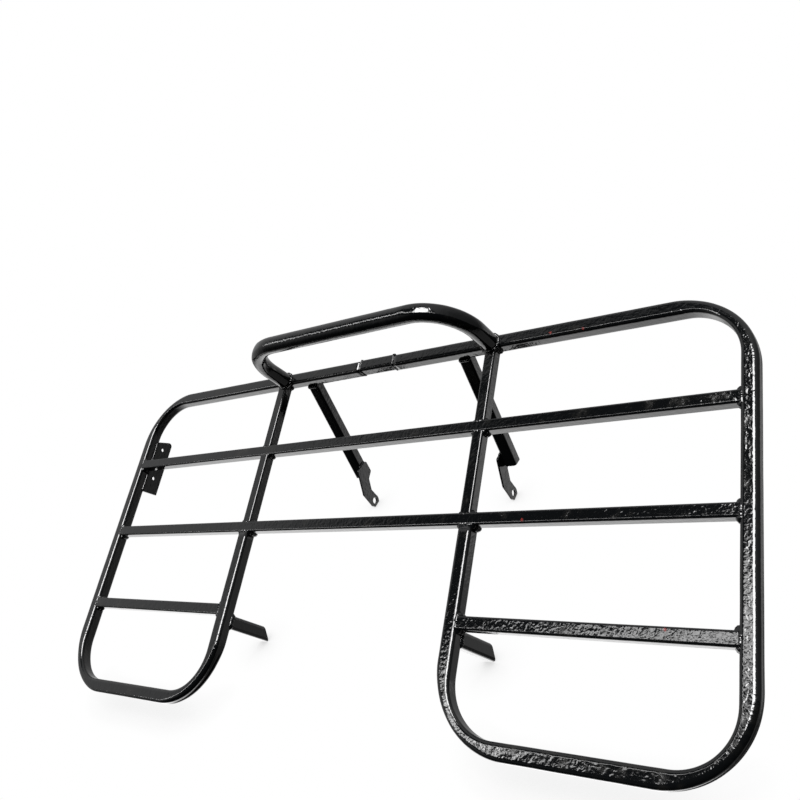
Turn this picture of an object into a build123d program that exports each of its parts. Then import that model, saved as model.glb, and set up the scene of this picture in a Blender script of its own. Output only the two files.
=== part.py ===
from build123d import *
import os
from math import cos, radians, sin

os.makedirs("parts", exist_ok=True)

# Welded carrier rack of square and round steel tube, in millimetres.
# X runs across the rack, +Y toward the hoop, +Z up. The origin is the middle
# of the load deck, on the top face of the middle crossbar.

# Tube stock: outside size and wall.
FRAME_TUBE, FRAME_WALL = 19.05, 1.6    # square
CROSS_TUBE, CROSS_WALL = 16.0, 1.5     # square
HOOP_TUBE, HOOP_WALL = 25.4, 1.6       # round
FRAME_CORNER, CROSS_CORNER = 4.4, 2.6  # outside corner radius of the square tubes

# Layout of the deck, along the tube centre lines.
SIDE_X = 526.1             # outer side bars
LOOP_X = 198.5             # inner legs of the two lower loops
UPRIGHT_X = 196.75         # uprights above the middle crossbar
RUNG_PITCH = 124.6         # crossbar spacing
TOP_Y = 249.0              # top bar
BOTTOM_Y = -252.6          # bottom of the loops
BEND_OUT_R = 94.5          # the bends are crushed: the outer wall has sunk in,
BEND_IN_R = 62.0           # so their outer radius is more than a tube's width larger
SPLICE_X = (-33.6, 27.9)   # short piece let into the top bar
SPLICE_OUT = 1.4           # it stands proud of the bar on the hoop side

# Hoop above the top bar.
HOOP_X = (-191.7, 196.0)   # its two legs
HOOP_Y = 246.0             # they stand on the top bar and on the heads of the uprights
HOOP_Z = 100.2             # height of its crossbar's centre line
HOOP_BEND_R = 67.5

# Struts below the top bar, and the plate tab on each one.
STRUT_X = 145.0
STRUT_TILT = 31.5          # degrees from the vertical
STRUT_DROP = 157.5         # height between its two ends, on its centre line
STRUT_SET_IN = 2.4         # its head sits this far in front of the bar's middle
TAB_T = 3.0
TAB_HOLE = (113.8, -206.4) # Y and Z of the bolt hole
TAB_HOLE_R = 5.25
TAB_END_R = 10.4

# Legs below the lower loops.
LEG_Y = -139.3
LEG_FRONT_Z, LEG_BACK_Z = -97.5, -82.0

# Bracket plate on the inside of the left side bar.
PLATE_T = 3.0
PLATE_Y = (78.5, 174.5)
PLATE_DROP = 25.0
PLATE_SLANT = 10.0
PLATE_HOLES_Y = (108.0, 164.0)
PLATE_HOLE_R = 3.0

WELD = 3.4                 # leg of the fillet welds
CROWN = 0.7                # how far a bead stands off a flush face

# Heights that follow from the stock: all deck tubes are flush at Z = 0.
FRAME_Z = -FRAME_TUBE / 2
CROSS_Z = -CROSS_TUBE / 2
UPPER_Y = RUNG_PITCH
LOWER_Y = -RUNG_PITCH
INNER_FACE_X = SIDE_X - FRAME_TUBE / 2


def section(plane, size, inset=0.0):
    """Rounded square tube section on a plane."""
    s = size - 2 * inset
    corner = FRAME_CORNER if size == FRAME_TUBE else CROSS_CORNER
    r = max(corner - inset, 0.8)
    return plane * RectangleRounded(s, s, r)


def round_tube(path, size, wall):
    """Hollow round tube along a smooth path, and its solid outside."""
    plane = Plane(origin=path @ 0, z_dir=path % 0)
    outside = sweep(plane * Circle(size / 2), path)
    return outside - sweep(plane * Circle(size / 2 - wall), path), outside


def straight_tube(start, end, size, wall, up=(0, 0, 1)):
    """Hollow straight tube between two points, and its solid outside."""
    start, end = Vector(*start), Vector(*end)
    plane = Plane(origin=start, x_dir=up, z_dir=end - start)
    length = (end - start).length
    outside = extrude(section(plane, size), length)
    return outside - extrude(section(plane, size, wall), length), outside


def frame_plan(side, inset=0.0, past_ends=0.0):
    """Plan of half the frame: from the middle crossbar round its loop to the splice."""
    h = FRAME_TUBE / 2 - inset
    start_y = -CROSS_TUBE / 2 + past_ends
    end_x = (-SPLICE_X[0] if side < 0 else SPLICE_X[1]) - past_ends
    outer = [(end_x, TOP_Y + h), (SIDE_X + h, TOP_Y + h), (SIDE_X + h, BOTTOM_Y - h),
             (LOOP_X - h, BOTTOM_Y - h), (LOOP_X - h, start_y)]
    inner = [(LOOP_X + h, start_y), (LOOP_X + h, BOTTOM_Y + h), (SIDE_X - h, BOTTOM_Y + h),
             (SIDE_X - h, TOP_Y - h), (end_x, TOP_Y - h)]
    points = [(side * x, y) for x, y in outer + inner]
    plan = Polygon(*(points if side < 0 else points[::-1]), align=None)

    def bends(group):
        """The plan's vertices at the three bends of one wall."""
        return [v for v in plan.vertices()
                if any(abs(v.X - side * x) + abs(v.Y - y) < 0.01 for x, y in group[1:4])]

    plan = fillet(bends(outer), BEND_OUT_R - inset)
    return fillet(bends(inner), BEND_IN_R + inset)


def rounded_bar(plan, height, corner):
    """Plan extruded downward by height, with its long edges rounded."""
    bar = extrude(plan, -height)
    low, high = bar.edges().group_by(Axis.Z)[0], bar.edges().group_by(Axis.Z)[-1]
    return fillet([e for e in low + high if e.length > FRAME_TUBE + 0.1], corner)


def frame_half(side):
    """Hollow bent tube of half the frame, and its solid outside."""
    outside = rounded_bar(frame_plan(side), FRAME_TUBE, FRAME_CORNER)
    bore = rounded_bar(frame_plan(side, FRAME_WALL, 1.0), FRAME_TUBE - 2 * FRAME_WALL,
                       FRAME_CORNER - FRAME_WALL)
    return outside - Pos(0, 0, -FRAME_WALL) * bore, outside


def hoop_path():
    """Centre line of the hoop, from one foot on the top bar to the other."""
    r, z, low = HOOP_BEND_R, HOOP_Z, HOOP_Z - HOOP_BEND_R
    turn = r * cos(radians(45))
    (left, right), y = HOOP_X, HOOP_Y
    pieces = [Line((left, y, 0), (left, y, low)),
              ThreePointArc((left, y, low), (left + r - turn, y, low + turn), (left + r, y, z)),
              Line((left + r, y, z), (right - r, y, z)),
              ThreePointArc((right - r, y, z), (right - r + turn, y, low + turn), (right, y, low)),
              Line((right, y, low), (right, y, 0))]
    return Wire(pieces)


def strut(side):
    """Inclined strut, cut level under the top bar and square at its foot."""
    tilt = radians(STRUT_TILT)
    top = Vector(side * STRUT_X, TOP_Y - STRUT_SET_IN, -FRAME_TUBE)
    down = Vector(0, -sin(tilt), -cos(tilt))
    start = top - down * FRAME_TUBE
    end = top + down * (STRUT_DROP / cos(tilt))
    tube, outside = straight_tube(start, end, FRAME_TUBE, FRAME_WALL, up=(1, 0, 0))
    above = Pos(top.X, top.Y, -FRAME_TUBE + 50) * Box(100, 100, 100)
    return tube - above, outside - above


def strut_tab(side):
    """Dog-leg plate on the strut's inner face, with one bolt hole."""
    y, z = TAB_HOLE
    outline = [(14.3, 14), (29.5, 26), (44.3, 25.5), (54.8, 43.6), (31.3, 56), (-1.5, 29)]
    points = [(y + dy, z + dz) for dy, dz in outline]
    arm = Polygon((y + TAB_END_R, z), *points, (y - TAB_END_R, z + 1.5), align=None)
    arm = fillet([v for v in arm.vertices() if v.Y > z + 5], 3.5)
    flat = arm + Pos(y, z) * Circle(TAB_END_R) - Pos(y, z) * Circle(TAB_HOLE_R)
    inner_face = STRUT_X - FRAME_TUBE / 2
    start = inner_face - TAB_T if side > 0 else -inner_face
    return extrude(Plane.YZ.offset(start) * flat, TAB_T)


def leg(side):
    """Straight leg under a lower loop, cut at a slant at the bottom."""
    top = (side * LOOP_X, LEG_Y, -FRAME_TUBE)
    bottom = (side * LOOP_X, LEG_Y, LEG_FRONT_Z)
    tube, outside = straight_tube(top, bottom, FRAME_TUBE, FRAME_WALL, up=(1, 0, 0))
    front, back = LEG_Y - FRAME_TUBE / 2, LEG_Y + FRAME_TUBE / 2
    rise = LEG_BACK_Z - LEG_FRONT_Z
    wedge = Plane.YZ.offset(side * LOOP_X - 30) * Polygon(
        (front, LEG_FRONT_Z), (front, LEG_FRONT_Z - 20), (back + 20, LEG_FRONT_Z - 20),
        (back + 20, LEG_BACK_Z + rise * 20 / FRAME_TUBE), (back, LEG_BACK_Z), align=None)
    return tube - extrude(wedge, 60), outside


def side_bracket():
    """Plate lapped on the left side bar's inner face, hanging below the upper crossbar."""
    z_top = -CROSS_TUBE
    z_low = -FRAME_TUBE - PLATE_DROP
    y0, y1 = PLATE_Y
    flat = Polygon((y0, z_top), (y0 + 2.5, z_low), (y1 + PLATE_SLANT, z_low), (y1, z_top), align=None)
    flat = fillet([v for v in flat.vertices() if v.X > y1 + 1], 6.0)
    for y in PLATE_HOLES_Y:
        flat -= Pos(y, -FRAME_TUBE - 9.5) * Circle(PLATE_HOLE_R)
    return extrude(Plane.YZ.offset(-INNER_FACE_X) * flat, PLATE_T)


def butt_weld(at, along, size, others, depth=None, slab=None):
    """Fillet bead round a square tube that butts on a face.

    at is the tube's middle on the face and along points up the tube; others are
    the solids the bead lies against. slab limits the bead's height on flush faces.
    """
    across = (1, 0, 0) if abs(Vector(*along).X) < 0.5 else (0, 1, 0)
    base = Plane(origin=Vector(*at) - Vector(*along) * 1.6, x_dir=across, z_dir=along)
    wide = size + 2 * WELD
    deep = (depth or size) + 2 * WELD
    foot = extrude(base * RectangleRounded(wide, deep, WELD), 1.6)
    bead = foot + extrude(base.offset(1.6) * RectangleRounded(wide, deep, WELD), WELD, taper=40)
    for solid in others:
        bead = bead - solid
    if slab:
        low, high = slab
        bead = bead & (Pos(at[0], at[1], (low + high) / 2) * Box(60, 60, high - low))
    return bead


def hoop_weld(x, hoop):
    """Fillet bead round the foot of one leg of the hoop."""
    r = HOOP_TUBE / 2
    return Pos(x, HOOP_Y, WELD / 2) * Cone(r + WELD, r + 0.4, WELD) - hoop


def deck_slab(size):
    """Height range of a bead on deck tubes of the given size: ground flush with the deck."""
    return (-size - CROWN, 0.0)


def splice_weld(x, others):
    """Band of weld round the top bar where the splice piece meets it."""
    size = FRAME_TUBE + 2 * (CROWN + 0.4)
    plane = Plane(origin=(x - 2.5, TOP_Y + SPLICE_OUT / 2, FRAME_Z), x_dir=(0, 0, 1), z_dir=(1, 0, 0))
    band = extrude(plane * RectangleRounded(size, size + SPLICE_OUT, 3.5), 5)
    for solid in others:
        band = band - solid
    return band


def bead_prism(start, end, to_wall, to_plate):
    """Triangular bead between two flat faces, from one point to another."""
    start, end = Vector(*start), Vector(*end)
    plane = Plane(origin=start, x_dir=to_wall, z_dir=end - start)
    a = Vector(*to_wall) * 3.0
    b = Vector(*to_plate) * 3.0
    tri = Face(Wire.make_polygon([start, start + a, start + b], close=True))
    return extrude(tri, amount=(end - start).length, dir=(end - start).normalized())


def main():
    nodes = {}
    solid = {}

    def add(name, pair):
        nodes[name], solid[name] = pair

    # Deck.
    for side, name in ((-1, "left"), (1, "right")):
        add(f"frame_tube_{name}", frame_half(side))
    add("top_bar_splice", straight_tube((SPLICE_X[0], TOP_Y + SPLICE_OUT, FRAME_Z),
                                        (SPLICE_X[1], TOP_Y + SPLICE_OUT, FRAME_Z),
                                        FRAME_TUBE, FRAME_WALL))
    for name, y in (("crossbar_upper", UPPER_Y), ("crossbar_middle", 0.0)):
        add(name, straight_tube((-INNER_FACE_X, y, CROSS_Z), (INNER_FACE_X, y, CROSS_Z),
                                CROSS_TUBE, CROSS_WALL))
    loop_face_x = LOOP_X + FRAME_TUBE / 2
    half = CROSS_TUBE / 2
    for side, name in ((-1, "left"), (1, "right")):
        add(f"crossbar_lower_{name}",
            straight_tube((side * loop_face_x, LOWER_Y, CROSS_Z),
                          (side * INNER_FACE_X, LOWER_Y, CROSS_Z), CROSS_TUBE, CROSS_WALL))
        x = side * UPRIGHT_X
        add(f"upright_upper_{name}",
            straight_tube((x, UPPER_Y + half, CROSS_Z), (x, TOP_Y - FRAME_TUBE / 2, CROSS_Z),
                          CROSS_TUBE, CROSS_WALL))
        add(f"upright_middle_{name}",
            straight_tube((x, half, CROSS_Z), (x, UPPER_Y - half, CROSS_Z),
                          CROSS_TUBE, CROSS_WALL))

    # Hoop, struts, tabs, legs and bracket.
    add("hoop", round_tube(hoop_path(), HOOP_TUBE, HOOP_WALL))
    for side, name in ((-1, "left"), (1, "right")):
        add(f"strut_{name}", strut(side))
        nodes[f"strut_tab_{name}"] = strut_tab(side)
        add(f"leg_{name}", leg(side))
    nodes["side_bracket"] = side_bracket()

    # Welds.
    cross_slab = deck_slab(CROSS_TUBE)
    for side, name in ((-1, "left"), (1, "right")):
        frame = solid[f"frame_tube_{name}"]
        x = side * UPRIGHT_X
        upper, middle = solid["crossbar_upper"], solid["crossbar_middle"]
        up_upper, up_middle = solid[f"upright_upper_{name}"], solid[f"upright_middle_{name}"]
        lower = solid[f"crossbar_lower_{name}"]
        nodes[f"weld_hoop_{name}"] = hoop_weld(HOOP_X[side > 0], solid["hoop"])
        nodes[f"weld_upright_head_{name}"] = butt_weld(
            (x, TOP_Y - FRAME_TUBE / 2, CROSS_Z), (0, -1, 0), CROSS_TUBE,
            [frame, up_upper], slab=(-CROSS_TUBE - CROWN, -1.7))
        nodes[f"weld_upright_foot_{name}"] = butt_weld(
            (x, UPPER_Y + half, CROSS_Z), (0, 1, 0), CROSS_TUBE, [upper, up_upper], slab=cross_slab)
        nodes[f"weld_middle_head_{name}"] = butt_weld(
            (x, UPPER_Y - half, CROSS_Z), (0, -1, 0), CROSS_TUBE, [upper, up_middle], slab=cross_slab)
        nodes[f"weld_middle_foot_{name}"] = butt_weld(
            (x, half, CROSS_Z), (0, 1, 0), CROSS_TUBE, [middle, up_middle], slab=cross_slab)
        nodes[f"weld_loop_end_{name}"] = butt_weld(
            (side * LOOP_X, -half, FRAME_Z), (0, -1, 0), FRAME_TUBE, [middle, frame],
            slab=cross_slab)
        for row, y, bar in (("upper", UPPER_Y, upper), ("middle", 0.0, middle), ("lower", LOWER_Y, lower)):
            over_bracket = name == "left" and row == "upper"
            nodes[f"weld_{row}_end_{name}"] = butt_weld(
                (side * INNER_FACE_X, y, CROSS_Z), (-side, 0, 0), CROSS_TUBE, [frame, bar],
                slab=(-CROSS_TUBE, 0.0) if over_bracket else cross_slab)
        nodes[f"weld_lower_inner_{name}"] = butt_weld(
            (side * loop_face_x, LOWER_Y, CROSS_Z), (side, 0, 0), CROSS_TUBE,
            [frame, lower], slab=cross_slab)
        deep = FRAME_TUBE / cos(radians(STRUT_TILT))
        nodes[f"weld_strut_{name}"] = butt_weld(
            (side * STRUT_X, TOP_Y - STRUT_SET_IN, -FRAME_TUBE), (0, 0, -1), FRAME_TUBE,
            [frame, solid[f"strut_{name}"]], depth=deep)
        nodes[f"weld_leg_{name}"] = butt_weld(
            (side * LOOP_X, LEG_Y, -FRAME_TUBE), (0, 0, -1), FRAME_TUBE,
            [frame, solid[f"leg_{name}"]])
        x_end = SPLICE_X[0] if side < 0 else SPLICE_X[1]
        nodes[f"weld_splice_{name}"] = splice_weld(x_end, [frame, solid["top_bar_splice"]])
        # Bead along the tab's upper edge on the strut's inner face.
        y, z = TAB_HOLE
        a = Vector(side * (STRUT_X - FRAME_TUBE / 2), y + 51.8, z + 45.2)
        b = Vector(side * (STRUT_X - FRAME_TUBE / 2), y + 38.2, z + 52.4)
        along = (b - a).normalized()
        out = Vector(0, -along.Z, along.Y)
        out = out if out.Z > 0 else -out
        nodes[f"weld_tab_{name}"] = bead_prism(a, b, (-side, 0, 0), (out.X, out.Y, out.Z))

    # Beads along the bracket's top edge, either side of the upper crossbar.
    gap = CROSS_TUBE / 2 + WELD + 1.0
    for name, y0, y1 in (("front", PLATE_Y[0] + 2, UPPER_Y - gap), ("back", UPPER_Y + gap, PLATE_Y[1] - 2)):
        nodes[f"weld_bracket_{name}"] = bead_prism(
            (-INNER_FACE_X, y0, -CROSS_TUBE), (-INNER_FACE_X, y1, -CROSS_TUBE), (1, 0, 0), (0, 0, 1))

    for name, shape in nodes.items():
        solids = shape.solids()
        export_step(solids[0] if len(solids) == 1 else Compound(solids), f"parts/{name}.step")
        print(name, len(solids), round(sum(s.volume for s in solids)))


main()
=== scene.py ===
"""Welded carrier rack of square steel tube under thick black brush paint.

The crossbars, uprights, struts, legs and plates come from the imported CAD. The bent frame
tubes, the hoop and the welds are rebuilt here as meshes with the crushed bends and rippled
beads of the real thing. Everything is in metres, in the CAD's own frame.
"""

import math

import bpy
import numpy as np
from mathutils import Matrix, Vector, noise


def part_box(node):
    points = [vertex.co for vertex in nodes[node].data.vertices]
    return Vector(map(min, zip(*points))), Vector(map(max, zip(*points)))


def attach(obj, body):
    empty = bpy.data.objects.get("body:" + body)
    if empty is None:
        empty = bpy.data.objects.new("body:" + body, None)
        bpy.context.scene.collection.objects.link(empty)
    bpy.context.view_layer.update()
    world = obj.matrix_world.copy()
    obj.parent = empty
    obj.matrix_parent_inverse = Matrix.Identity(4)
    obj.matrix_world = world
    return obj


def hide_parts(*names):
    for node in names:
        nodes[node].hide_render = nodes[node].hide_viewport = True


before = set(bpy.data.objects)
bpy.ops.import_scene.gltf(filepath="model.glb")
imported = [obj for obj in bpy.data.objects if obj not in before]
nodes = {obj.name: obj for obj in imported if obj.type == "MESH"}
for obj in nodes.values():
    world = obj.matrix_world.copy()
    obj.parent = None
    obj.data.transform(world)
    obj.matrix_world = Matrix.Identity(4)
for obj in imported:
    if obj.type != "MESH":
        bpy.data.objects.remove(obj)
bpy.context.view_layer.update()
scene = bpy.context.scene

MM = 0.001
WHITE = (1, 1, 1, 1)
SEED = 11
random = np.random.default_rng(SEED)
noise.seed_set(SEED)


# ---------------------------------------------------------------- camera

CAMERA_AT = Vector((0.7383, -0.2879, 0.7774))
CAMERA_FORWARD = Vector((-0.600, 0.412, -0.686))
CAMERA_UP = Vector((0.117, 0.894, 0.433))
CAMERA_LENS = 36.229           # mm
SENSOR_WIDTH = 36.0


def make_camera():
    """Camera that looks down on the deck from its right front corner."""
    data = bpy.data.cameras.new("camera")
    data.lens = CAMERA_LENS
    data.sensor_width = SENSOR_WIDTH
    camera = bpy.data.objects.new("camera", data)
    back = -CAMERA_FORWARD.normalized()
    right = CAMERA_UP.cross(back).normalized()
    up = back.cross(right)
    camera.matrix_world = Matrix.Translation(CAMERA_AT) @ Matrix((right, up, back)).transposed().to_4x4()
    scene.collection.objects.link(camera)
    scene.camera = camera


# ---------------------------------------------------------------- node helpers


class Graph:
    """Short calls for building a node tree; most give back the socket that carries their result."""

    def __init__(self, tree):
        self.tree = tree
        tree.nodes.clear()

    def node(self, kind, **settings):
        n = self.tree.nodes.new(kind)
        for name, value in settings.items():
            setattr(n, name, value)
        return n

    def feed(self, socket, value):
        if isinstance(value, bpy.types.NodeSocket):
            self.tree.links.new(value, socket)
        elif value is not None:
            socket.default_value = value

    def math(self, operation, a, b=None, c=None):
        n = self.node("ShaderNodeMath", operation=operation)
        for socket, value in zip(n.inputs, (a, b, c)):
            self.feed(socket, value)
        return n.outputs[0]

    def product(self, *values):
        total = values[0]
        for value in values[1:]:
            total = self.math("MULTIPLY", total, value)
        return total

    def ramp(self, value, low, high, out_low=0.0, out_high=1.0):
        """Smooth step of value from low to high."""
        n = self.node("ShaderNodeMapRange", interpolation_type="SMOOTHSTEP", clamp=True)
        for name, v in (("Value", value), ("From Min", low), ("From Max", high),
                        ("To Min", out_low), ("To Max", out_high)):
            self.feed(n.inputs[name], v)
        return n.outputs["Result"]

    def noise(self, vector, scale, detail=2.0, rough=0.5, distortion=0.0):
        n = self.node("ShaderNodeTexNoise")
        self.feed(n.inputs["Vector"], vector)
        for name, v in (("Scale", scale), ("Detail", detail), ("Roughness", rough),
                        ("Distortion", distortion)):
            n.inputs[name].default_value = v
        return n.outputs["Fac"]

    def mix(self, factor, a, b):
        n = self.node("ShaderNodeMix", data_type="RGBA")
        colour_a, colour_b = n.inputs[6], n.inputs[7]
        self.feed(n.inputs["Factor"], factor)
        self.feed(colour_a, a)
        self.feed(colour_b, b)
        return n.outputs[2]

    def mix_shader(self, factor, a, b):
        n = self.node("ShaderNodeMixShader")
        for socket, value in zip(n.inputs, (factor, a, b)):
            self.feed(socket, value)
        return n.outputs[0]


# ---------------------------------------------------------------- light


LOWEST_CEILING_RAY = 0.05      # keeps the ceiling coordinates finite near the horizon
LAMP_EDGE = 0.05               # how soft a ceiling lamp's border is


class Sky(Graph):
    """A world tree, with the direction it is looked at in and shapes to light it with."""

    def __init__(self, tree):
        super().__init__(tree)
        self.direction = self.node("ShaderNodeTexCoord").outputs["Generated"]
        split = self.node("ShaderNodeSeparateXYZ")
        self.feed(split.inputs[0], self.direction)
        self.x, self.y, self.z = split.outputs
        ceiling = self.math("MAXIMUM", self.z, LOWEST_CEILING_RAY)
        self.across = self.math("DIVIDE", self.x, ceiling)     # where a ray meets a ceiling
        self.along = self.math("DIVIDE", self.y, ceiling)      # one metre up

    def toward(self, vector, near, far):
        """1 in that direction, falling to 0 between the two angles in degrees."""
        n = self.node("ShaderNodeVectorMath", operation="DOT_PRODUCT")
        self.feed(n.inputs[0], self.direction)
        n.inputs[1].default_value = Vector(vector).normalized()
        return self.ramp(n.outputs["Value"], math.cos(math.radians(far)), math.cos(math.radians(near)))

    def softbox(self, middle, half_long, half_wide, degrees):
        """A rectangular lamp on the ceiling, turned by that angle."""
        c, s = math.cos(math.radians(degrees)), math.sin(math.radians(degrees))
        du = self.math("SUBTRACT", self.across, middle[0])
        dv = self.math("SUBTRACT", self.along, middle[1])
        long_way = self.math("MULTIPLY_ADD", du, c, self.math("MULTIPLY", dv, s))
        wide_way = self.math("MULTIPLY_ADD", dv, c, self.math("MULTIPLY", du, -s))
        lit = [self.ramp(self.math("ABSOLUTE", way), half + LAMP_EDGE, half - LAMP_EDGE)
               for way, half in ((long_way, half_long), (wide_way, half_wide))]
        return self.product(*lit, self.ramp(self.z, 0.2, 0.3))

    def far_wall(self):
        """Dim wall beyond the hoop, brightest on the left and above the horizon."""
        top = self.math("MULTIPLY_ADD", self.x, -0.15, self.z)
        return self.product(self.ramp(self.y, -0.10, 0.12), self.ramp(top, 0.86, 0.74),
                            self.ramp(self.x, 0.3, 0.95, 1.0, 0.28),
                            self.ramp(self.z, -0.65, 0.2, 0.35, 0.62))

    def left_wall(self):
        """Wall on the left, beside the front half of the deck."""
        return self.product(self.ramp(self.y, -0.80, -0.15), self.ramp(self.x, 0.1, -0.3),
                            self.ramp(self.z, 0.80, 0.62), self.ramp(self.y, 0.10, -0.08))

    def floor(self):
        """The bright floor below the rack, darker straight down."""
        return self.product(self.ramp(self.z, -0.42, -0.55), self.ramp(self.z, -0.92, -0.74, 0.03, 0.22))


def studio_light(sky):
    """Brightness of the studio in each direction."""
    level = sky.far_wall()
    floor_left = sky.toward((-0.504, -0.353, -0.788), near=15, far=38)
    floor_right = sky.toward((0.58, 0.36, -0.73), near=4, far=10)
    tube_left = sky.softbox((-0.47, 0.15), half_long=0.30, half_wide=0.035, degrees=23)
    tube_right = sky.softbox((0.15, 0.10), half_long=0.38, half_wide=0.035, degrees=0)
    main_lamp = sky.softbox((0.05, 0.33), half_long=0.24, half_wide=0.28, degrees=0)
    far_left = sky.softbox((-0.98, -0.15), half_long=0.40, half_wide=0.035, degrees=30)
    panels = ((sky.left_wall(), 0.5), (sky.floor(), 1.0), (floor_left, 1.25), (floor_right, 0.6),
              (tube_left, 11.0), (tube_right, 10.0), (main_lamp, 24.0), (far_left, 14.0))
    for lit, strength in panels:
        level = sky.math("MULTIPLY_ADD", lit, strength, level)
    return level


def make_world():
    """White backdrop for the camera; a plain studio of a few soft panels for everything else."""
    world = bpy.data.worlds.new("studio")
    scene.world = world
    world.use_nodes = True
    sky = Sky(world.node_tree)
    level = studio_light(sky)
    colour = sky.node("ShaderNodeCombineColor")
    for socket in colour.inputs:
        sky.feed(socket, level)
    studio = sky.node("ShaderNodeBackground")
    sky.feed(studio.inputs["Color"], colour.outputs[0])
    backdrop = sky.node("ShaderNodeBackground")
    backdrop.inputs["Color"].default_value = WHITE
    seen = sky.node("ShaderNodeLightPath").outputs["Is Camera Ray"]
    out = sky.node("ShaderNodeOutputWorld")
    sky.feed(out.inputs["Surface"], sky.mix_shader(seen, studio.outputs[0], backdrop.outputs[0]))
    scene.view_settings.view_transform = "Standard"


# ---------------------------------------------------------------- materials


BLACK = (0.0022, 0.0025, 0.0028, 1)
DUSTY_BLACK = (0.0062, 0.0060, 0.0054, 1)
OLD_RED = (0.11, 0.016, 0.014, 1)
RIPPLE_HEIGHT, LUMP_HEIGHT = 0.19 * MM, 0.20 * MM
GLOSS, DUST_HAZE = 0.07, 0.12  # roughness of clean paint, and what dust adds to it
PAINT_IOR = 1.52
CHIP_RAGGED = 4 * MM           # how uneven a chip's border is
CHIP_EDGE = (4.2 * MM, 3.2 * MM)
CHIPS = ((0.285, 0.245), (0.330, 0.242), (0.277, -0.004), (0.449, -0.120), (-0.191, -0.189),
         (-0.199, -0.218))


def old_paint(g, place):
    """Mask of the few small chips on the deck where red paint shows through."""
    ragged = g.math("MULTIPLY", g.noise(place, scale=600.0), CHIP_RAGGED)
    nearest = None
    for x, y in CHIPS:
        n = g.node("ShaderNodeVectorMath", operation="DISTANCE")
        g.feed(n.inputs[0], place)
        n.inputs[1].default_value = (x, y, 0)
        away = n.outputs["Value"]
        nearest = away if nearest is None else g.math("MINIMUM", nearest, away)
    return g.ramp(g.math("ADD", nearest, ragged), *CHIP_EDGE)


def brushed_bump(g, place):
    """Normal of thick brushed paint: fine ripples on broader lumps."""
    ripple = g.noise(place, scale=250.0, detail=1.0, distortion=0.5)
    lumps = g.noise(place, scale=95.0, detail=1.0, distortion=0.8)
    height = g.math("MULTIPLY_ADD", lumps, LUMP_HEIGHT / MM, g.math("MULTIPLY", ripple, RIPPLE_HEIGHT / MM))
    bump = g.node("ShaderNodeBump")
    bump.inputs["Strength"].default_value = 1.0
    bump.inputs["Distance"].default_value = MM
    g.feed(bump.inputs["Height"], height)
    return bump.outputs[0]


def paint_material():
    """Thick glossy black paint put on by brush, with dust and chips down to old red paint."""
    material = bpy.data.materials.new("black_paint")
    material.use_nodes = True
    g = Graph(material.node_tree)
    place = g.node("ShaderNodeTexCoord").outputs["Object"]
    dust = g.ramp(g.noise(place, scale=34.0, detail=5.0, rough=0.65), 0.52, 0.72)
    shader = g.node("ShaderNodeBsdfPrincipled")
    g.feed(shader.inputs["Base Color"], g.mix(old_paint(g, place), g.mix(dust, BLACK, DUSTY_BLACK), OLD_RED))
    g.feed(shader.inputs["Roughness"], g.math("MULTIPLY_ADD", dust, DUST_HAZE, GLOSS))
    g.feed(shader.inputs["Normal"], brushed_bump(g, place))
    shader.inputs["IOR"].default_value = PAINT_IOR
    out = g.node("ShaderNodeOutputMaterial")
    g.feed(out.inputs["Surface"], shader.outputs[0])
    return material


SHADE_REACH = 0.05             # how near the rack comes before the floor darkens
DEEPEST_SHADE = 0.62


def floor_material():
    """White floor, clear from behind, very faintly darker where the rack comes near it: a painted contact
    shadow.
    """
    material = bpy.data.materials.new("pale_floor")
    material.use_nodes = True
    g = Graph(material.node_tree)
    near = g.node("ShaderNodeAmbientOcclusion", samples=8)
    near.inputs["Distance"].default_value = SHADE_REACH
    glow = g.node("ShaderNodeEmission")
    glow.inputs["Color"].default_value = WHITE
    # painted shadow: the floor's glow dims where the rack comes near
    g.feed(glow.inputs["Strength"], g.ramp(near.outputs["AO"], 0.2, 1.0, DEEPEST_SHADE, 1.0))
    clear = g.node("ShaderNodeBsdfTransparent")
    behind = g.node("ShaderNodeNewGeometry").outputs["Backfacing"]
    out = g.node("ShaderNodeOutputMaterial")
    g.feed(out.inputs["Surface"], g.mix_shader(behind, glow.outputs[0], clear.outputs[0]))
    return material


FLOOR_NORMAL = Vector((0, 0.408, 0.913))   # the rack leans back on its leg tips and tabs
FLOOR_DROP = 0.1502                        # along that normal, from the origin
FLOOR_HALF = 3.0


def make_floor():
    """Pale floor under the leg tips and the bolt tabs."""
    n = FLOOR_NORMAL.normalized()
    across = Vector((1, 0, 0))
    along = n.cross(across).normalized()
    corners = [-n * FLOOR_DROP + across * u * FLOOR_HALF + along * v * FLOOR_HALF
               for u, v in ((-1, -1), (1, -1), (1, 1), (-1, 1))]
    mesh = bpy.data.meshes.new("floor")
    mesh.from_pydata(corners, [], [(0, 1, 2, 3)])
    mesh.materials.append(floor_material())
    floor = bpy.data.objects.new("floor", mesh)
    scene.collection.objects.link(floor)
    floor.visible_glossy = False
    floor.visible_diffuse = False
    floor.visible_shadow = False


make_camera()
make_world()
make_floor()
paint = paint_material()
for obj in nodes.values():
    obj.data.materials.clear()
    obj.data.materials.append(paint)


# ---------------------------------------------------------------- mesh helpers


def add_mesh(name, points, faces, *replaced):
    """A smooth-shaded painted piece that rides on the frame and stands for CAD nodes."""
    mesh = bpy.data.meshes.new(name)
    mesh.from_pydata([tuple(p) for p in points], [], [tuple(int(i) for i in f) for f in faces])
    mesh.validate()
    mesh.shade_smooth()
    mesh.materials.append(paint)
    obj = bpy.data.objects.new(name, mesh)
    scene.collection.objects.link(obj)
    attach(obj, "root")
    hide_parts(*replaced)


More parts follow.
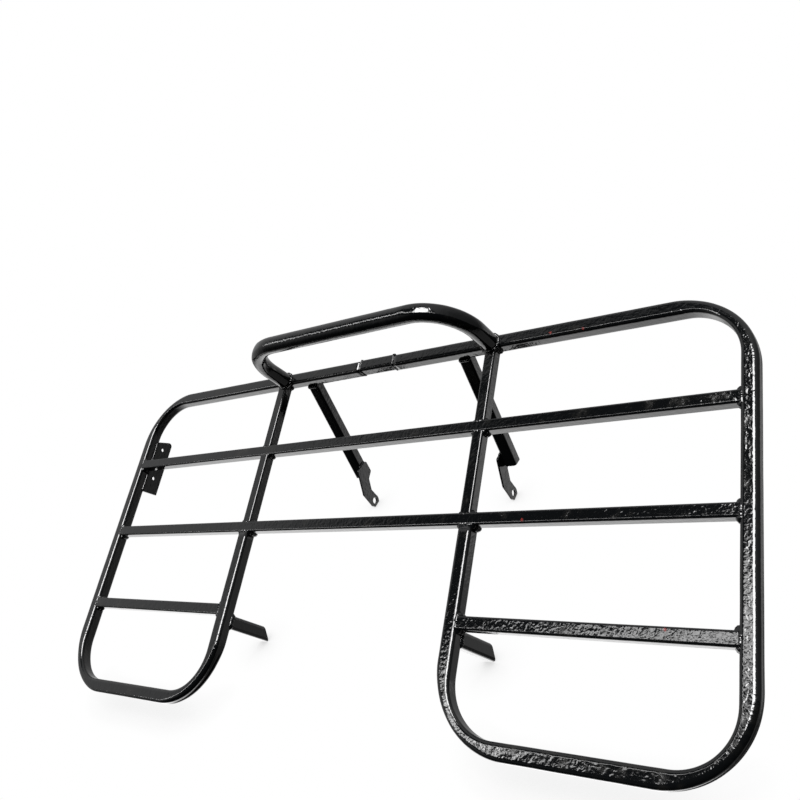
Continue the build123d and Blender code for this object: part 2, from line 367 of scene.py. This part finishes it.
def grid_faces(rows, columns, offset=0, close_rows=False, flip=False):
    """Quads over a grid of points whose columns close into a ring."""
    r = np.arange(rows if close_rows else rows - 1)[:, None]
    c = np.arange(columns)[None, :]
    r2, c2 = (r + 1) % rows, (c + 1) % columns
    quads = np.stack([r * columns + c, r * columns + c2, r2 * columns + c2, r2 * columns + c], -1)
    quads = quads.reshape(-1, 4) + offset
    return quads[:, ::-1] if flip else quads


def hollow_loft(outer, inner):
    """Points and faces of a tube wall between two lofts of rings, open bore, closed at its ends."""
    rows, columns = outer.shape[:2]
    count = rows * columns
    points = np.concatenate([outer.reshape(-1, 3), inner.reshape(-1, 3)])
    faces = [grid_faces(rows, columns), grid_faces(rows, columns, count, flip=True)]
    c = np.arange(columns)
    c2 = (c + 1) % columns
    last = (rows - 1) * columns
    faces.append(np.stack([c2, c, c + count, c2 + count], -1))
    faces.append(np.stack([c, c2, c2 + count, c + count], -1) + last)
    return points, np.concatenate(faces)


def wander(points, size, height):
    """Smooth displacement of up to that height, in metres, that changes over about size metres."""
    waves = [noise.noise_vector(Vector(p) / size) for p in points.reshape(-1, 3)]
    return np.array(waves).reshape(points.shape) * height


# ---------------------------------------------------------------- bent tubes

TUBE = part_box("frame_tube_right")[1].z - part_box("frame_tube_right")[0].z
TUBE_WALL = 1.6 * MM
TUBE_CORNER = 4.4 * MM
BEND_OUT_R = 94.5 * MM         # the outer wall of each bend has sunk in
BEND_IN_R = 62.0 * MM
SUNK_CORNER = 6.2 * MM         # and its corners have spread
SUNK_WALL = 0.8 * MM
CRUSH_RUN = 22.0               # degrees of a bend over which the crush sets in
SIDE_CRUSH = 0.9               # the side bar between two bends keeps most of it
LEAST_CORNER = 0.5 * MM
STRAIGHT_STEP = 9 * MM
TUBE_WAVE = 0.16 * MM          # unevenness of the painted walls
TUBE_WAVE_UP = 0.1 * MM        # most that it raises the deck


def square_section(half_wide, half_high, r_out, r_in, hollow):
    """Closed outline (across, up) of a tube; +across is the outside of the bend."""
    arc = np.radians(np.linspace(0, 90, 7))
    flat = np.array([0.06, 0.22, 0.5, 0.78, 0.94])       # shares of each flat side
    points = []
    corners = [(1, 1, r_out), (-1, 1, r_in), (-1, -1, r_in), (1, -1, r_out)]
    outer_side = 3
    for k, (sx, sy, r) in enumerate(corners):
        cx, cy = sx * (half_wide - r), sy * (half_high - r)
        turn = arc + math.radians(90 * k)
        corner = np.stack([cx + r * np.cos(turn), cy + r * np.sin(turn)], -1)
        points.append(corner)
        nx, ny, nr = corners[(k + 1) % 4]
        start = corner[-1]
        after = math.radians(90 * (k + 1))
        end = np.array([nx * (half_wide - nr) + nr * math.cos(after),
                        ny * (half_high - nr) + nr * math.sin(after)])
        side = start + flat[:, None] * (end - start)
        if k == outer_side:
            side[:, 0] -= hollow * np.sin(np.pi * flat)
        points.append(side)
    return np.concatenate(points)


def bend_station(centre, out_r, in_r, n1, n2, angle):
    """Outer and inner wall points where a ray from the outer arc's centre crosses them."""
    ray = math.cos(angle) * n1 + math.sin(angle) * n2
    outer = centre + out_r * ray
    inner_centre = out_r - TUBE - in_r        # of the inner arc, along both normals
    reach = out_r - TUBE                      # of the inner wall's straight stretches
    along = (math.cos(angle) + math.sin(angle)) * inner_centre
    t = along + math.sqrt(max(along ** 2 - 2 * inner_centre ** 2 + in_r ** 2, 0))
    hit = np.array([math.cos(angle), math.sin(angle)]) * t
    if hit[1] < inner_centre:
        t = reach / math.cos(angle)
    elif hit[0] < inner_centre:
        t = reach / math.sin(angle)
    return outer, centre + t * ray


def frame_corners(side):
    """Corners of the frame's centre line, from the middle crossbar to the let-in piece, at X > 0."""
    lo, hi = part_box("frame_tube_right" if side > 0 else "frame_tube_left")
    reach = hi.x if side > 0 else -lo.x
    leg_lo, leg_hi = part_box("leg_right")
    loop_x = (leg_lo.x + leg_hi.x) / 2
    half = TUBE / 2
    return [np.array(p) for p in (
        (loop_x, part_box("crossbar_middle")[0].y),
        (loop_x, lo.y + half),
        (reach - half, lo.y + half),
        (reach - half, hi.y - half),
        (lo.x if side > 0 else -hi.x, hi.y - half))]


def straight_stations(start, end, normal, shares, crush):
    """Stations along a straight bar, at those shares of its length."""
    middles = [start + t * (end - start) for t in shares]
    return [(p + normal * TUBE / 2, p - normal * TUBE / 2, crush) for p in middles]


LOWER_OUTER_BEND, UPPER_BEND = 2, 3     # of the three bends, counted from the middle crossbar


def crush_at(bend, degrees):
    """Share of the crush at an angle of a bend; it fades at both ends except by the side bar."""
    crush = min(1.0, min(degrees, 90 - degrees) / CRUSH_RUN)
    crush = crush * crush * (3 - 2 * crush)
    by_side_bar = (bend == LOWER_OUTER_BEND and degrees > 45) or (bend == UPPER_BEND and degrees < 45)
    return max(crush, SIDE_CRUSH) if by_side_bar else crush


def frame_stations(side):
    """(outer wall, inner wall, share of the bend's crush) along half the frame."""
    corners = frame_corners(side)
    set_back = BEND_OUT_R - TUBE / 2
    stations = []
    here = corners[0]
    for bend in (1, 2, 3):
        way_in = corners[bend] - corners[bend - 1]
        way_out = corners[bend + 1] - corners[bend]
        way_in, way_out = way_in / np.linalg.norm(way_in), way_out / np.linalg.norm(way_out)
        n1, n2 = -way_out, way_in
        centre = corners[bend] - (n1 + n2) * set_back
        start = centre + n1 * set_back
        fresh = 1 if stations else 0              # the bend before this one ended here
        shares = np.linspace(0, 1, max(3, int(np.linalg.norm(start - here) / STRAIGHT_STEP)))[fresh:-1]
        stations += straight_stations(here, start, n1, shares, SIDE_CRUSH if bend == UPPER_BEND else 0.0)
        for degrees in np.linspace(0, 90, 37):
            walls = bend_station(centre, BEND_OUT_R, BEND_IN_R, n1, n2, math.radians(degrees))
            stations.append((*walls, crush_at(bend, degrees)))
        here = centre + n2 * set_back
    return stations + straight_stations(here, corners[4], n2, np.linspace(0, 1, 50)[1:], 0.0)


def bent_frame_tube(side, name):
    """Half of the frame, from the middle crossbar round its loop to the let-in piece."""
    outer_rings, inner_rings = [], []
    for outer, inner, crush in frame_stations(side):
        middle, across = (outer + inner) / 2, outer - inner
        wide = np.linalg.norm(across)
        across = across / wide
        spread = TUBE_CORNER + crush * (SUNK_CORNER - TUBE_CORNER)
        for rings, inset in ((outer_rings, 0.0), (inner_rings, TUBE_WALL)):
            outline = square_section(wide / 2 - inset, TUBE / 2 - inset,
                                     max(spread - inset, LEAST_CORNER),
                                     max(TUBE_CORNER - inset, LEAST_CORNER), crush * SUNK_WALL)
            flat = middle + outline[:, :1] * across
            rings.append(np.column_stack([side * flat[:, 0], flat[:, 1], outline[:, 1] - TUBE / 2]))
    outer_rings, inner_rings = np.array(outer_rings), np.array(inner_rings)
    waves = wander(outer_rings, 0.03, TUBE_WAVE)
    waves[..., 2] = np.minimum(waves[..., 2], TUBE_WAVE_UP)
    points, faces = hollow_loft(outer_rings + waves, inner_rings)
    if side > 0:
        faces = faces[:, ::-1]
    add_mesh(name + "_painted", points, faces, name)


HOOP_BEND_R = 67.5 * MM
HOOP_FLAT = 0.9 * MM           # how far the outside of each hoop bend has flattened
FLAT_EASE = 1.2 * MM           # depth over which the round wall turns into that flat
HOOP_WAVE = 0.12 * MM
SLOW_RUN, QUICK_RUN = 20, 4    # degrees over which the flattening sets in


def hoop_bend(side, corner_x, low, head_run):
    """(x, z, normal x, normal z, flattening) up one bend of the hoop, from its leg to its crossbar."""
    path = []
    for degrees in np.linspace(0, 90, 46):
        a = math.radians(degrees)
        flat = min(1.0, (degrees + 1) / SLOW_RUN, (91 - degrees) / head_run)
        path.append((corner_x - side * HOOP_BEND_R * (1 - math.cos(a)), low + HOOP_BEND_R * math.sin(a),
                     side * math.cos(a), math.sin(a), flat))
    return path


def hoop_stations():
    """(centre, outward normal, share of flattening) along the hoop, from foot to foot."""
    lo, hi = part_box("hoop")
    r = (hi.y - lo.y) / 2
    left, right, top = lo.x + r, hi.x - r, hi.z - r
    low = top - HOOP_BEND_R
    y = (lo.y + hi.y) / 2
    path = [(left, z, -1, 0, 0.0) for z in np.linspace(lo.z, low, 8)[:-1]]
    path += hoop_bend(-1, left, low, SLOW_RUN)
    path += [(x, top, 0, 1, 0.0) for x in np.linspace(left + HOOP_BEND_R, right - HOOP_BEND_R, 34)[1:-1]]
    path += hoop_bend(1, right, low, QUICK_RUN)[::-1]
    path += [(right, z, 1, 0, 0.0) for z in np.linspace(low, lo.z, 8)[1:]]
    return [(np.array([x, y, z]), np.array([nx, 0, nz]), flat) for x, z, nx, nz, flat in path], r


def pressed_circle(radius, turn, flat):
    """(outward, sideways) round a tube whose outside is pressed flat by that share."""
    out = radius * np.cos(turn)
    limit = radius - HOOP_FLAT * flat - FLAT_EASE
    over = np.maximum(out - limit, 0)
    pressed = np.where(over > 0, limit + over * 0.45, out)
    return out + flat * (pressed - out), radius * np.sin(turn)


def round_hoop():
    """The raised hoop of round tube, flattened on the outside of its two bends."""
    stations, r = hoop_stations()
    turn = np.linspace(0, 2 * math.pi, 56, endpoint=False)
    outer_rings, inner_rings = [], []
    for centre, normal, flat in stations:
        for rings, radius in ((outer_rings, r), (inner_rings, r - TUBE_WALL)):
            out, sideways = pressed_circle(radius, turn, flat)
            rings.append(centre + out[:, None] * normal + sideways[:, None] * [0, 1, 0])
    outer_rings = np.array(outer_rings)
    outer_rings += wander(outer_rings, 0.02, HOOP_WAVE)
    points, faces = hollow_loft(outer_rings, np.array(inner_rings))
    add_mesh("hoop_painted", points, faces, "hoop")


# ---------------------------------------------------------------- welds

COIN = 1.9 * MM                # pitch of the ripples
BEAD_STEP = 0.5 * MM           # between the points of a bead's path
COIN_SHIFT = 0.25 * MM         # how far a coin strays from the bead's line
COIN_SPREAD = 0.08             # how much the coins differ in size
COIN_SWELL = 0.06              # how much a coin swells in its middle
COIN_LEAN = 0.55               # how far its crown bows forward, in half radii
BEAD_WAVE = 0.35 * MM


def along_path(path, out, closed):
    """Unit vectors ahead, outward and across at each point of a bead's path."""
    ahead = np.roll(path, -1, 0) - np.roll(path, 1, 0)
    if not closed:
        ahead[0], ahead[-1] = path[1] - path[0], path[-1] - path[-2]
    ahead /= np.linalg.norm(ahead, axis=1)[:, None]
    out = out - (out * ahead).sum(1)[:, None] * ahead
    out /= np.linalg.norm(out, axis=1)[:, None]
    return ahead, out, np.cross(ahead, out)


def coins(path, radius, closed):
    """Radius and sideways shift of the bead at each point, coin by coin."""
    step = np.linalg.norm(path - np.roll(path, 1, 0), axis=1)
    if not closed:
        step[0] = 0
    run = np.cumsum(step) + random.uniform(0, COIN)
    coin = np.floor(run / COIN).astype(int)
    phase = run / COIN - coin
    size = 1 + COIN_SPREAD * random.standard_normal(coin.max() + 2)[coin]
    shift = COIN_SHIFT * random.standard_normal(coin.max() + 2)[coin]
    swell = COIN_SWELL * np.sin(np.pi * np.clip(phase, 0, 1)) ** 0.7
    r = np.broadcast_to(radius, len(path)) * (np.clip(size, 0.75, 1.3) * 0.9 + swell)
    if not closed:
        ends = np.minimum(np.arange(len(path)), np.arange(len(path))[::-1])
        r = r * np.minimum(1, 0.25 + ends / 4)
    return r, shift


def bead(name, path, out, radius, *replaced, closed=True):
    """A rippled weld bead along a path of points; out points away from the joint's root."""
    path = np.asarray(path, float)
    ahead, out, across = along_path(path, np.asarray(out, float), closed)
    r, shift = coins(path, radius, closed)
    turn = np.linspace(0, 2 * math.pi, 14, endpoint=False)
    outward, sideways = np.cos(turn), np.sin(turn)
    lean = COIN_LEAN * outward ** 2 * (outward > 0)
    rings = (path[:, None] + shift[:, None, None] * across[:, None]
             + r[:, None, None] * (outward[None, :, None] * out[:, None]
                                   + sideways[None, :, None] * across[:, None])
             + (r * 0.5)[:, None, None] * lean[None, :, None] * ahead[:, None])
    rings += wander(rings, 0.004, BEAD_WAVE)
    points, faces = rings.reshape(-1, 3), grid_faces(len(path), len(turn), close_rows=closed)
    faces = [tuple(f) for f in faces]
    if not closed:
        faces.append(tuple(range(len(turn)))[::-1])
        faces.append(tuple(range((len(path) - 1) * len(turn), len(path) * len(turn))))
    add_mesh(name, points, faces, *replaced)


def square_loop(wide, deep, corner):
    """Points and outward directions round a rounded rectangle."""
    points, outs = [], []
    for k, (sx, sy) in enumerate(((1, 1), (-1, 1), (-1, -1), (1, -1))):
        cx, cy = sx * (wide / 2 - corner), sy * (deep / 2 - corner)
        for a in np.radians(np.linspace(0, 90, 7)) + math.radians(90 * k):
            points.append((cx + corner * math.cos(a), cy + corner * math.sin(a)))
            outs.append((math.cos(a), math.sin(a)))
    points, outs = np.array(points), np.array(outs)
    dense_points, dense_outs = [], []
    for p, q, o, o2 in zip(points, np.roll(points, -1, 0), outs, np.roll(outs, -1, 0)):
        count = max(1, int(np.linalg.norm(q - p) / BEAD_STEP))
        for t in np.arange(count) / count:
            dense_points.append(p + t * (q - p))
            dense_outs.append(o + t * (o2 - o))
    return np.array(dense_points), np.array(dense_outs)


FILLET = 4.4 * MM              # radius of a fillet bead
ROOT = -1.4 * MM               # its middle lies this far behind both faces
FLUSH = 0.5 * MM               # crown over a seam that is flush with the deck
SOFT_TURN = 1.5 * MM           # how gently a bead turns from a side face to the deck
LOOP_CORNER = 2.6 * MM         # corner radius of its path
WEB = 0.45                     # how much fuller it is in the corners of the deck
KNOB = 0.15                    # and at a knob
KNOB_REACH = 4.5 * MM
FACE_LEAN = 0.9                # how much its outward side leans away from the joint's face
DECK_LEAN = 1.5                # and up, where it crosses the deck


def nearness(path, spot, reach):
    """1 at that spot, falling to 0 past its reach."""
    return np.exp(-(np.linalg.norm(path - np.array(spot), axis=1) / reach) ** 2)


def butt_bead(name, at, along, across, wide, deep, flush=True, radius=FILLET, knob=None):
    """Bead round a square tube that butts on a face; along points up the tube, out of the face."""
    at, along, across = (np.array(v, float) for v in (at, along, across))
    up = np.cross(along, across)
    flat, outs = square_loop(wide + 2 * ROOT, deep + 2 * ROOT, LOOP_CORNER)
    path = at + flat[:, :1] * across + flat[:, 1:] * up + ROOT * along
    out = outs[:, :1] * across + outs[:, 1:] * up + FACE_LEAN * along
    size = radius * (1 + (WEB if flush else 0.0) * np.abs(outs[:, 0]))
    if knob is not None:
        size = size * (1 + KNOB * nearness(path, knob, KNOB_REACH))
    if flush:
        level = at[2] + deep / 2 + FLUSH - size
        above = path[:, 2] - level
        out[above > 0] += np.array([0, 0, DECK_LEAN])
        path[:, 2] = level + (above - np.sqrt(above ** 2 + SOFT_TURN ** 2)) / 2
    bead(name, path, out, size, name.replace("bead", "weld", 1))


def end_of(node, axis, sign):
    """Middle of the end face of a bar that runs along X or Y, and its size."""
    lo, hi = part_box(node)
    middle = (lo + hi) / 2
    middle[axis] = hi[axis] if sign > 0 else lo[axis]
    return middle, hi.z - lo.z


def deck_beads():
    """Round the ends of the uprights, crossbars and loops, level with the deck."""
    for side, name in ((-1, "left"), (1, "right")):
        for part, bar, sign in (("upright_head", "upright_upper", 1), ("upright_foot", "upright_upper", -1),
                                ("middle_head", "upright_middle", 1), ("middle_foot", "upright_middle", -1)):
            at, size = end_of(f"{bar}_{name}", 1, sign)
            butt_bead(f"bead_{part}_{name}", at, (0, -sign, 0), (1, 0, 0), size, size)
        for row in ("upper", "middle", "lower"):
            bar = f"crossbar_{row}" + (f"_{name}" if row == "lower" else "")
            at, size = end_of(bar, 0, side)
            butt_bead(f"bead_{row}_end_{name}", at, (-side, 0, 0), (0, 1, 0), size, size)
        at, size = end_of(f"crossbar_lower_{name}", 0, -side)
        butt_bead(f"bead_lower_inner_{name}", at, (side, 0, 0), (0, 1, 0), size, size)
        leg_lo, leg_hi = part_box(f"leg_{name}")
        x, y = (leg_lo.x + leg_hi.x) / 2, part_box("crossbar_middle")[0].y
        butt_bead(f"bead_loop_end_{name}", (x, y, -TUBE / 2), (0, -1, 0), (1, 0, 0), TUBE, TUBE,
                  knob=(x + TUBE / 2 + MM, y - MM, -TUBE * 0.75))


def head_bead(part, name, radius):
    """Round the head of a leg or strut, under the frame."""
    lo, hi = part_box(f"weld_{part}_{name}")
    at = ((lo.x + hi.x) / 2, (lo.y + hi.y) / 2, -TUBE)
    deep = TUBE if part == "leg" else hi.y - lo.y - (hi.x - lo.x - TUBE)
    butt_bead(f"bead_{part}_{name}", at, (0, 0, -1), (1, 0, 0), TUBE, deep, flush=False, radius=radius)


def hoop_foot_bead(name):
    """Round a foot of the hoop, on the top bar."""
    lo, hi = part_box(f"weld_hoop_{name}")
    hoop_lo, hoop_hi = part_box("hoop")
    r = (hoop_hi.y - hoop_lo.y) / 2 + 0.4 * MM
    turn = np.linspace(0, 2 * math.pi, 190, endpoint=False)
    out = np.stack([np.cos(turn), np.sin(turn), 0 * turn], -1)
    path = np.array([(lo.x + hi.x) / 2, (lo.y + hi.y) / 2, 0.2 * MM]) + r * out
    bead(f"bead_hoop_{name}", path, out + [0, 0, 0.6], 2.5 * MM, f"weld_hoop_{name}")


def straight_bead(name, start, end, out, radius):
    """An open bead from start to end."""
    start, end = np.array(start, float), np.array(end, float)
    count = int(np.linalg.norm(end - start) / BEAD_STEP)
    path = start + np.linspace(0, 1, count)[:, None] * (end - start)
    bead(name, path, np.tile(out, (count, 1)), radius, name.replace("bead", "weld", 1), closed=False)


def splice_bead(name):
    """Round one end of the let-in piece, with a blob at the top of its far side."""
    lo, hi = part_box(f"weld_splice_{name}")
    flat, outs = square_loop(hi.y - lo.y - 2.4 * MM, TUBE, TUBE_CORNER)
    middle = (lo + hi) / 2
    path = np.column_stack([np.full(len(flat), middle.x), middle.y + flat[:, 0], flat[:, 1] - TUBE / 2])
    out = np.column_stack([0 * flat[:, 0], outs])
    blob = nearness(path, (middle.x, hi.y - 2 * MM, -2 * MM), 4 * MM)
    bead(f"bead_splice_{name}", path - 1.1 * MM * out, out, 1.7 * MM * (1 + 0.6 * blob),
         f"weld_splice_{name}")


def tab_bead(name):
    """Slanting bead along the edge where a bolt tab meets its strut."""
    lo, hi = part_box(f"weld_tab_{name}")
    side = -1 if name == "left" else 1
    x = (hi.x if side > 0 else lo.x) - side * MM
    straight_bead(f"bead_tab_{name}", (x, hi.y, lo.z), (x, lo.y, hi.z - 2 * MM), (-side, 0.3, 0.6), 1.8 * MM)


def bracket_bead(part):
    """Along part of the seam between the side bracket and its bar."""
    lo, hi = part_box(f"weld_bracket_{part}")
    x, z = lo.x + 0.6 * MM, lo.z + 0.6 * MM
    straight_bead(f"bead_bracket_{part}", (x, lo.y, z), (x, hi.y, z), (1, 0, 1), 2.0 * MM)


bent_frame_tube(-1, "frame_tube_left")
bent_frame_tube(1, "frame_tube_right")
round_hoop()
deck_beads()
for end in ("left", "right"):
    head_bead("leg", end, FILLET * 0.95)
    head_bead("strut", end, FILLET * 0.5)
    hoop_foot_bead(end)
for end in ("left", "right"):
    splice_bead(end)
    tab_bead(end)
for end in ("front", "back"):
    bracket_bead(end)
